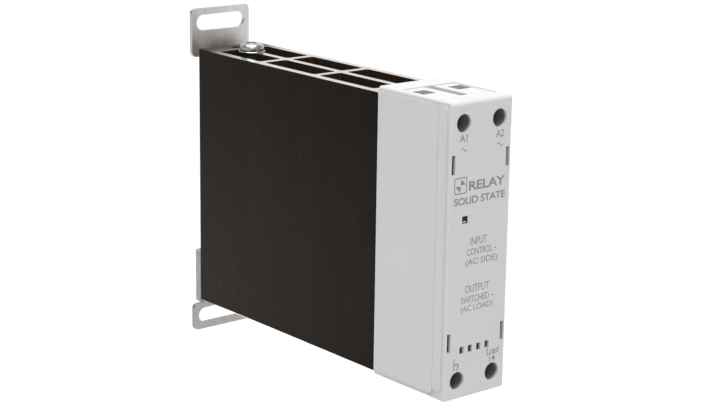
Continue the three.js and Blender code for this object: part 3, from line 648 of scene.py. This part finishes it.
class RELAY_OT_clip_spring(bpy.types.Operator):
    """Wind the rail clip's spring; the coil is built at one length and does not shorten as the clip slides"""

    bl_idname = "relay.clip_spring"
    bl_label = "Clip spring"

    def execute(self, context):
        low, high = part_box("clip_spring")
        radius = (high.x - low.x) / 2
        wire = sizes(context).spring_wire
        coil = radius - wire
        centre = Vector((0, (low.y + high.y) / 2, 0))
        around, turns, steps = 12, sizes(context).turns, 40
        points = []
        for i in range(turns * steps + 1):
            share = i / (turns * steps)
            angle = i / steps * 2 * math.pi
            # The end turns lie flat, as on a ground spring.
            rise = min(1, max(0, (share * turns - FLAT_TURNS) / (turns - 2 * FLAT_TURNS)))
            z = low.z + wire + (high.z - low.z - 2 * wire) * (CREEP * share + (1 - CREEP) * rise)
            out = Vector((math.cos(angle), math.sin(angle), 0))
            for k in range(around):
                turn = k / around * 2 * math.pi
                lift = Vector((0, 0, z + wire * math.sin(turn)))
                point = centre + out * (coil + wire * math.cos(turn)) + lift
                points.append([c / MM for c in point])
        rows = turns * steps + 1
        faces = ring_faces(rows, around, closed=False)
        faces.append(tuple(range(around)))
        faces.append(tuple(reversed(range((rows - 1) * around, rows * around))))
        steel = plain_metal("spring steel, drawn wire", "#a3a4a3", 0.26, 0.3)
        spring = add_piece("clip_spring_coil", points, faces, steel)
        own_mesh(spring)
        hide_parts("clip_spring")
        return {"FINISHED"}


def turned_piece(name, profile, axis_point, material, segments=72):
    """A solid of revolution about an upright axis, from (radius, height) points in millimetres."""
    points = []
    for radius, height in profile:
        for k in range(segments):
            angle = k / segments * 2 * math.pi
            points.append((
                axis_point[0] + radius * math.cos(angle),
                axis_point[1] + radius * math.sin(angle),
                axis_point[2] + height,
            ))
    return add_piece(name, points, ring_faces(len(profile), segments), material)


class RELAY_OT_earth_terminal(bpy.types.Operator):
    """Turn the earth screw and its washer"""

    bl_idname = "relay.earth_terminal"
    bl_label = "Earth terminal"

    def execute(self, context):
        bright = zinc_screw(tuple(colours(context).screw))
        low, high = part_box("earth_washer")
        y = (low.y + high.y) / 2 / MM
        bore, rim, thick, base = 2.25, high.x / MM, (high.z - low.z) / MM, low.z / MM
        washer = turned_piece("earth_washer_ring", [
            (bore, 0.1), (bore + 0.1, 0), (rim - 0.12, 0), (rim, 0.12), (rim, thick - 0.2),
            (rim - 0.05, thick - 0.08), (rim - 0.2, thick), (bore + 0.1, thick), (bore, thick - 0.1),
        ], (0, y, base), bright)
        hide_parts("earth_washer")
        finish(("earth_screw",), bright, sizes(context).metal_edge, 3)
        return {"FINISHED"}


# Each line's text, centre X, centre Z, width and height, in millimetres.
FRONT_INK = {
    "marking_terminals": [
        ("A1", -6.40, 31.35, 2.7, 2.0),
        ("~", -6.18, 28.27, 2.2, 1.1),
        ("A2", 6.65, 31.10, 2.9, 2.0),
        ("~", 6.77, 28.10, 2.2, 1.1),
        ("L", -7.25, -29.78, 0.9, 2.0),
        ("13", -6.80, -31.36, 1.9, 1.85),
        ("Load", 6.60, -29.25, 4.4, 2.1),
        ("14", 6.50, -31.46, 2.1, 1.85),
    ],
    "marking_name": [
        ("RELAY", 2.52, 18.22, 13.0, 2.5),
        ("SOLID STATE", 0.0, 14.40, 18.4, 2.0),
    ],
    "marking_control": [
        ("INPUT", 0.13, 2.93, 6.0, 2.1),
        ("CONTROL ~", 1.37, 0.02, 10.8, 1.9),
        ("(AC SIDE)", 1.31, -2.98, 11.5, 2.2),
    ],
    "marking_load": [
        ("OUTPUT", 0.05, -10.15, 8.8, 2.1),
        ("SWITCHED ~", 0.28, -13.10, 11.9, 1.9),
        ("(AC LOAD)", 0.12, -15.79, 11.7, 2.2),
    ],
}

# How far the outlines of a group's letters are spread, in letter heights.
BOLD = {"marking_name": 0.018, "marking_terminals": 0.008}
SYMBOL = {"x": -6.98, "z": 18.7, "half": 2.25, "line": 0.28, "corner": 0.6}


def letters(text, bold):
    """A line of text as a solid: its points and faces, flat and half a unit thick each way."""
    curve = bpy.data.curves.new("letters", "FONT")
    curve.body = text
    curve.extrude = 0.5
    curve.offset = bold
    curve.resolution_u = 4
    curve.space_character = 0.95
    holder = bpy.data.objects.new("letters", curve)
    bpy.context.scene.collection.objects.link(holder)
    bpy.context.view_layer.update()
    drawn = holder.evaluated_get(bpy.context.evaluated_depsgraph_get())
    mesh = bpy.data.meshes.new_from_object(drawn)
    points = [v.co.copy() for v in mesh.vertices]
    faces = [tuple(p.vertices) for p in mesh.polygons]
    bpy.data.objects.remove(holder)
    bpy.data.curves.remove(curve)
    bpy.data.meshes.remove(mesh)
    return points, faces


def wave(stroke=0.38, steps=20):
    """The sign for alternating current, drawn like letters(): one period of a sine, one unit high."""
    points = []
    for i in range(steps + 1):
        share = i / steps
        middle = 0.5 * math.sin(share * 2 * math.pi)
        for rise, depth in ((-stroke, -0.5), (stroke, -0.5), (stroke, 0.5), (-stroke, 0.5)):
            points.append(Vector((share * 2, middle + rise / 2, depth)))
    faces = ring_faces(steps + 1, 4, closed=False)
    return points, [(3, 2, 1, 0), *faces, tuple(range(steps * 4, steps * 4 + 4))]


def square_outline(half, corner, steps=4):
    """A rounded square about the origin as (across, up) points."""
    outline = []
    for quarter, (across, up) in enumerate(((1, -1), (1, 1), (-1, 1), (-1, -1))):
        for k in range(steps + 1):
            angle = (quarter - 1 + k / steps) * math.pi / 2
            outline.append((
                across * (half - corner) + corner * math.cos(angle),
                up * (half - corner) + corner * math.sin(angle),
            ))
    return outline


class RELAY_OT_markings(bpy.types.Operator):
    """Print the terminal numbers, the words and the switch symbol on the front"""

    bl_idname = "relay.markings"
    bl_label = "Markings"

    def execute(self, context):
        ink = plain_body("pad-printing ink, grey", tuple(colours(context).ink), 0.55, 1.5, 0.25, 0.002)
        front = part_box("front_cover")[0].y / MM
        inner, outer = front + 0.004, front - sizes(context).ink_depth / MM
        for name, lines in FRONT_INK.items():
            points, faces = [], []
            for text, x, z, width, height in lines:
                shape, sides = wave() if text == "~" else letters(text, BOLD.get(name, 0))
                start = len(points)
                low = Vector([min(p[i] for p in shape) for i in range(3)])
                high = Vector([max(p[i] for p in shape) for i in range(3)])
                for p in shape:
                    points.append((
                        x + ((p.x - low.x) / (high.x - low.x) - 0.5) * width,
                        inner + (p.z + 0.5) * (outer - inner),
                        z + ((p.y - low.y) / (high.y - low.y) - 0.5) * height,
                    ))
                faces += [tuple(start + i for i in side) for side in sides]
            add_piece(name, points, faces, ink, smooth=False)
        self.symbol(ink, inner, outer)
        return {"FINISHED"}

    @staticmethod
    def symbol(ink, inner, outer):
        """Two opposed triangles in a rounded square, the usual sign for a semiconductor switch."""
        x, z, half, line = SYMBOL["x"], SYMBOL["z"], SYMBOL["half"], SYMBOL["line"]
        outside = square_outline(half, SYMBOL["corner"])
        inside = square_outline(half - line, SYMBOL["corner"] - line / 2)
        points = [
            (x + across, depth, z + up)
            for outline, depth in ((outside, inner), (outside, outer), (inside, outer), (inside, inner))
            for across, up in outline
        ]
        faces = ring_faces(4, len(outside))
        for side in (-1, 1):
            start = len(points)
            foot, tip = 0.15, half * 0.78
            corners = ((-side * 0.05, side * foot), (side * tip, side * foot), (side * 0.25, side * tip))
            points += [(x + a, depth, z + b) for depth in (inner, outer) for a, b in corners]
            faces += [tuple(start + i for i in face) for face in (
                (0, 1, 2), (5, 4, 3), (0, 3, 4, 1), (1, 4, 5, 2), (2, 5, 3, 0),
            )]
        add_piece("marking_symbol", points, faces, ink, smooth=False)


FLOOR_HALF = 20.0                     # half the floor's side, metres
BEHIND = (0.6, 0.76, 0.25)            # the direction in which the surround is brighter
SUN_SPREAD = math.radians(55)         # how broad the overhead light is
MIDDLE = (0, -0.06, 0)                # what the upper lights aim at
LOWER_REAR = (-0.01, -0.01, -0.03)    # what the low light aims at
LIGHT_PLACES = {
    "overhead_light": (-0.15, -0.2, 1.2),
    "front_left_softbox": (-0.26, -0.5, 0.36),
    "low_softbox": (-0.2, 0.24, -0.14),
}
SOFTBOX_SIZES = {"front_left_softbox": 0.35, "low_softbox": 0.12}    # the sides of the square lights
CAMERA = {
    "place": (-0.324604, -0.454002, 0.132216),
    "right": (0.77077, -0.63695, 0.01437),
    "up": (0.14681, 0.19951, 0.96883),
    "back": (-0.61997, -0.74464, 0.24729),
    "sensor": 36,
    "lens": 91.6255,
}


class RELAY_OT_stage(bpy.types.Operator):
    """Lay the floor, hang the lights and set the camera"""

    bl_idname = "relay.stage"
    bl_label = "Studio"

    def execute(self, context):
        studio = context.scene.relay_studio
        ground = CAD_BOX[0][2] - studio.drop
        half = FLOOR_HALF
        mesh = bpy.data.meshes.new("studio_floor")
        mesh.from_pydata(
            [(-half, -half, ground), (half, -half, ground), (half, half, ground), (-half, half, ground)],
            [], [(0, 1, 2, 3)])
        material, tree, shader = new_material("studio floor, matt paint", Roughness=0.9)
        roller = speckle(tree, 40, 2)
        white = tuple(colours(context).floor)
        painted = overlaid(tree, shaded(white, 0.985), [(roller, white)])
        tree.links.new(painted, shader.inputs["Base Color"])
        mesh.materials.append(material)
        floor = bpy.data.objects.new("studio_floor", mesh)
        context.scene.collection.objects.link(floor)

        # The surround is brighter behind the piece, so that the bare metal ends shine. It brightens from
        # 60 to 32 degrees off that direction.
        world = bpy.data.worlds.new("white dome")
        world.use_nodes = True
        surround = world.node_tree
        behind = add_node(surround, "ShaderNodeVectorMath", {
            0: add_node(surround, "ShaderNodeTexCoord").outputs["Generated"], 1: BEHIND,
        }, operation="DOT_PRODUCT").outputs["Value"]
        strength = add_node(surround, "ShaderNodeMapRange", {
            "Value": behind, "From Min": 0.5, "From Max": 0.85,
            "To Min": studio.dome, "To Max": studio.backdrop,
        }).outputs["Result"]
        background = surround.nodes["Background"]
        background.inputs["Color"].default_value = (1, 1, 1, 1)
        surround.links.new(strength, background.inputs["Strength"])
        context.scene.world = world
        context.scene.view_settings.view_transform = "Standard"

        above = self.add_light(context, "overhead_light", MIDDLE, studio.overhead)
        above.data.angle = SUN_SPREAD
        self.add_light(context, "front_left_softbox", MIDDLE, studio.key)
        # The low light only shines in the metal, near the lower rear corner of the left flank.
        low = self.add_light(context, "low_softbox", LOWER_REAR, studio.sheen)
        low.visible_diffuse = False

        lens = bpy.data.cameras.new("camera")
        lens.sensor_width = CAMERA["sensor"]
        lens.lens = CAMERA["lens"]
        lens.clip_start = 0.01
        lens.clip_end = 20
        camera = bpy.data.objects.new("camera", lens)
        turn = Matrix((CAMERA["right"], CAMERA["up"], CAMERA["back"])).transposed().to_4x4()
        camera.matrix_world = Matrix.Translation(CAMERA["place"]) @ turn
        context.scene.collection.objects.link(camera)
        context.scene.camera = camera
        return {"FINISHED"}

    @staticmethod
    def add_light(context, name, target, power):
        """A light aimed at a target: a square softbox, or a sun where no size is given."""
        place, size = LIGHT_PLACES[name], SOFTBOX_SIZES.get(name)
        light = bpy.data.lights.new(name, "AREA" if size else "SUN")
        light.energy = power
        if size:
            light.shape = "SQUARE"
            light.size = size
        holder = bpy.data.objects.new(name, light)
        holder.location = place
        holder.rotation_euler = (Vector(target) - Vector(place)).to_track_quat("-Z", "Y").to_euler()
        context.scene.collection.objects.link(holder)
        return holder


class RELAY_PT_panel(bpy.types.Panel):
    """Shows the relay's settings and steps in the sidebar"""

    bl_label = "Solid State Relay"
    bl_idname = "RELAY_PT_panel"
    bl_space_type = "VIEW_3D"
    bl_region_type = "UI"
    bl_category = "Relay"

    def draw(self, context):
        layout = self.layout
        for group in (context.scene.relay_colours, context.scene.relay_sizes, context.scene.relay_studio):
            box = layout.box()
            for name in group.__annotations__:
                box.prop(group, name)
        for operator in OPERATORS:
            layout.operator(operator.bl_idname)


GROUPS = (RelayColours, RelaySizes, RelayStudio)
OPERATORS = (
    RELAY_OT_stage,
    RELAY_OT_casing,
    RELAY_OT_heat_sink,
    RELAY_OT_brackets,
    RELAY_OT_terminals,
    RELAY_OT_power_module,
    RELAY_OT_electronics,
    RELAY_OT_screws,
    RELAY_OT_clip_spring,
    RELAY_OT_earth_terminal,
    RELAY_OT_markings,
)


def register():
    for item in (*GROUPS, *OPERATORS, RELAY_PT_panel):
        bpy.utils.register_class(item)
    bpy.types.Scene.relay_colours = PointerProperty(type=RelayColours)
    bpy.types.Scene.relay_sizes = PointerProperty(type=RelaySizes)
    bpy.types.Scene.relay_studio = PointerProperty(type=RelayStudio)


def unregister():
    del bpy.types.Scene.relay_studio
    del bpy.types.Scene.relay_sizes
    del bpy.types.Scene.relay_colours
    for item in reversed((*GROUPS, *OPERATORS, RELAY_PT_panel)):
        bpy.utils.unregister_class(item)


def main():
    register()
    for operator in OPERATORS:
        group, name = operator.bl_idname.split(".")
        getattr(getattr(bpy.ops, group), name)()


if __name__ == "__main__":
    main()
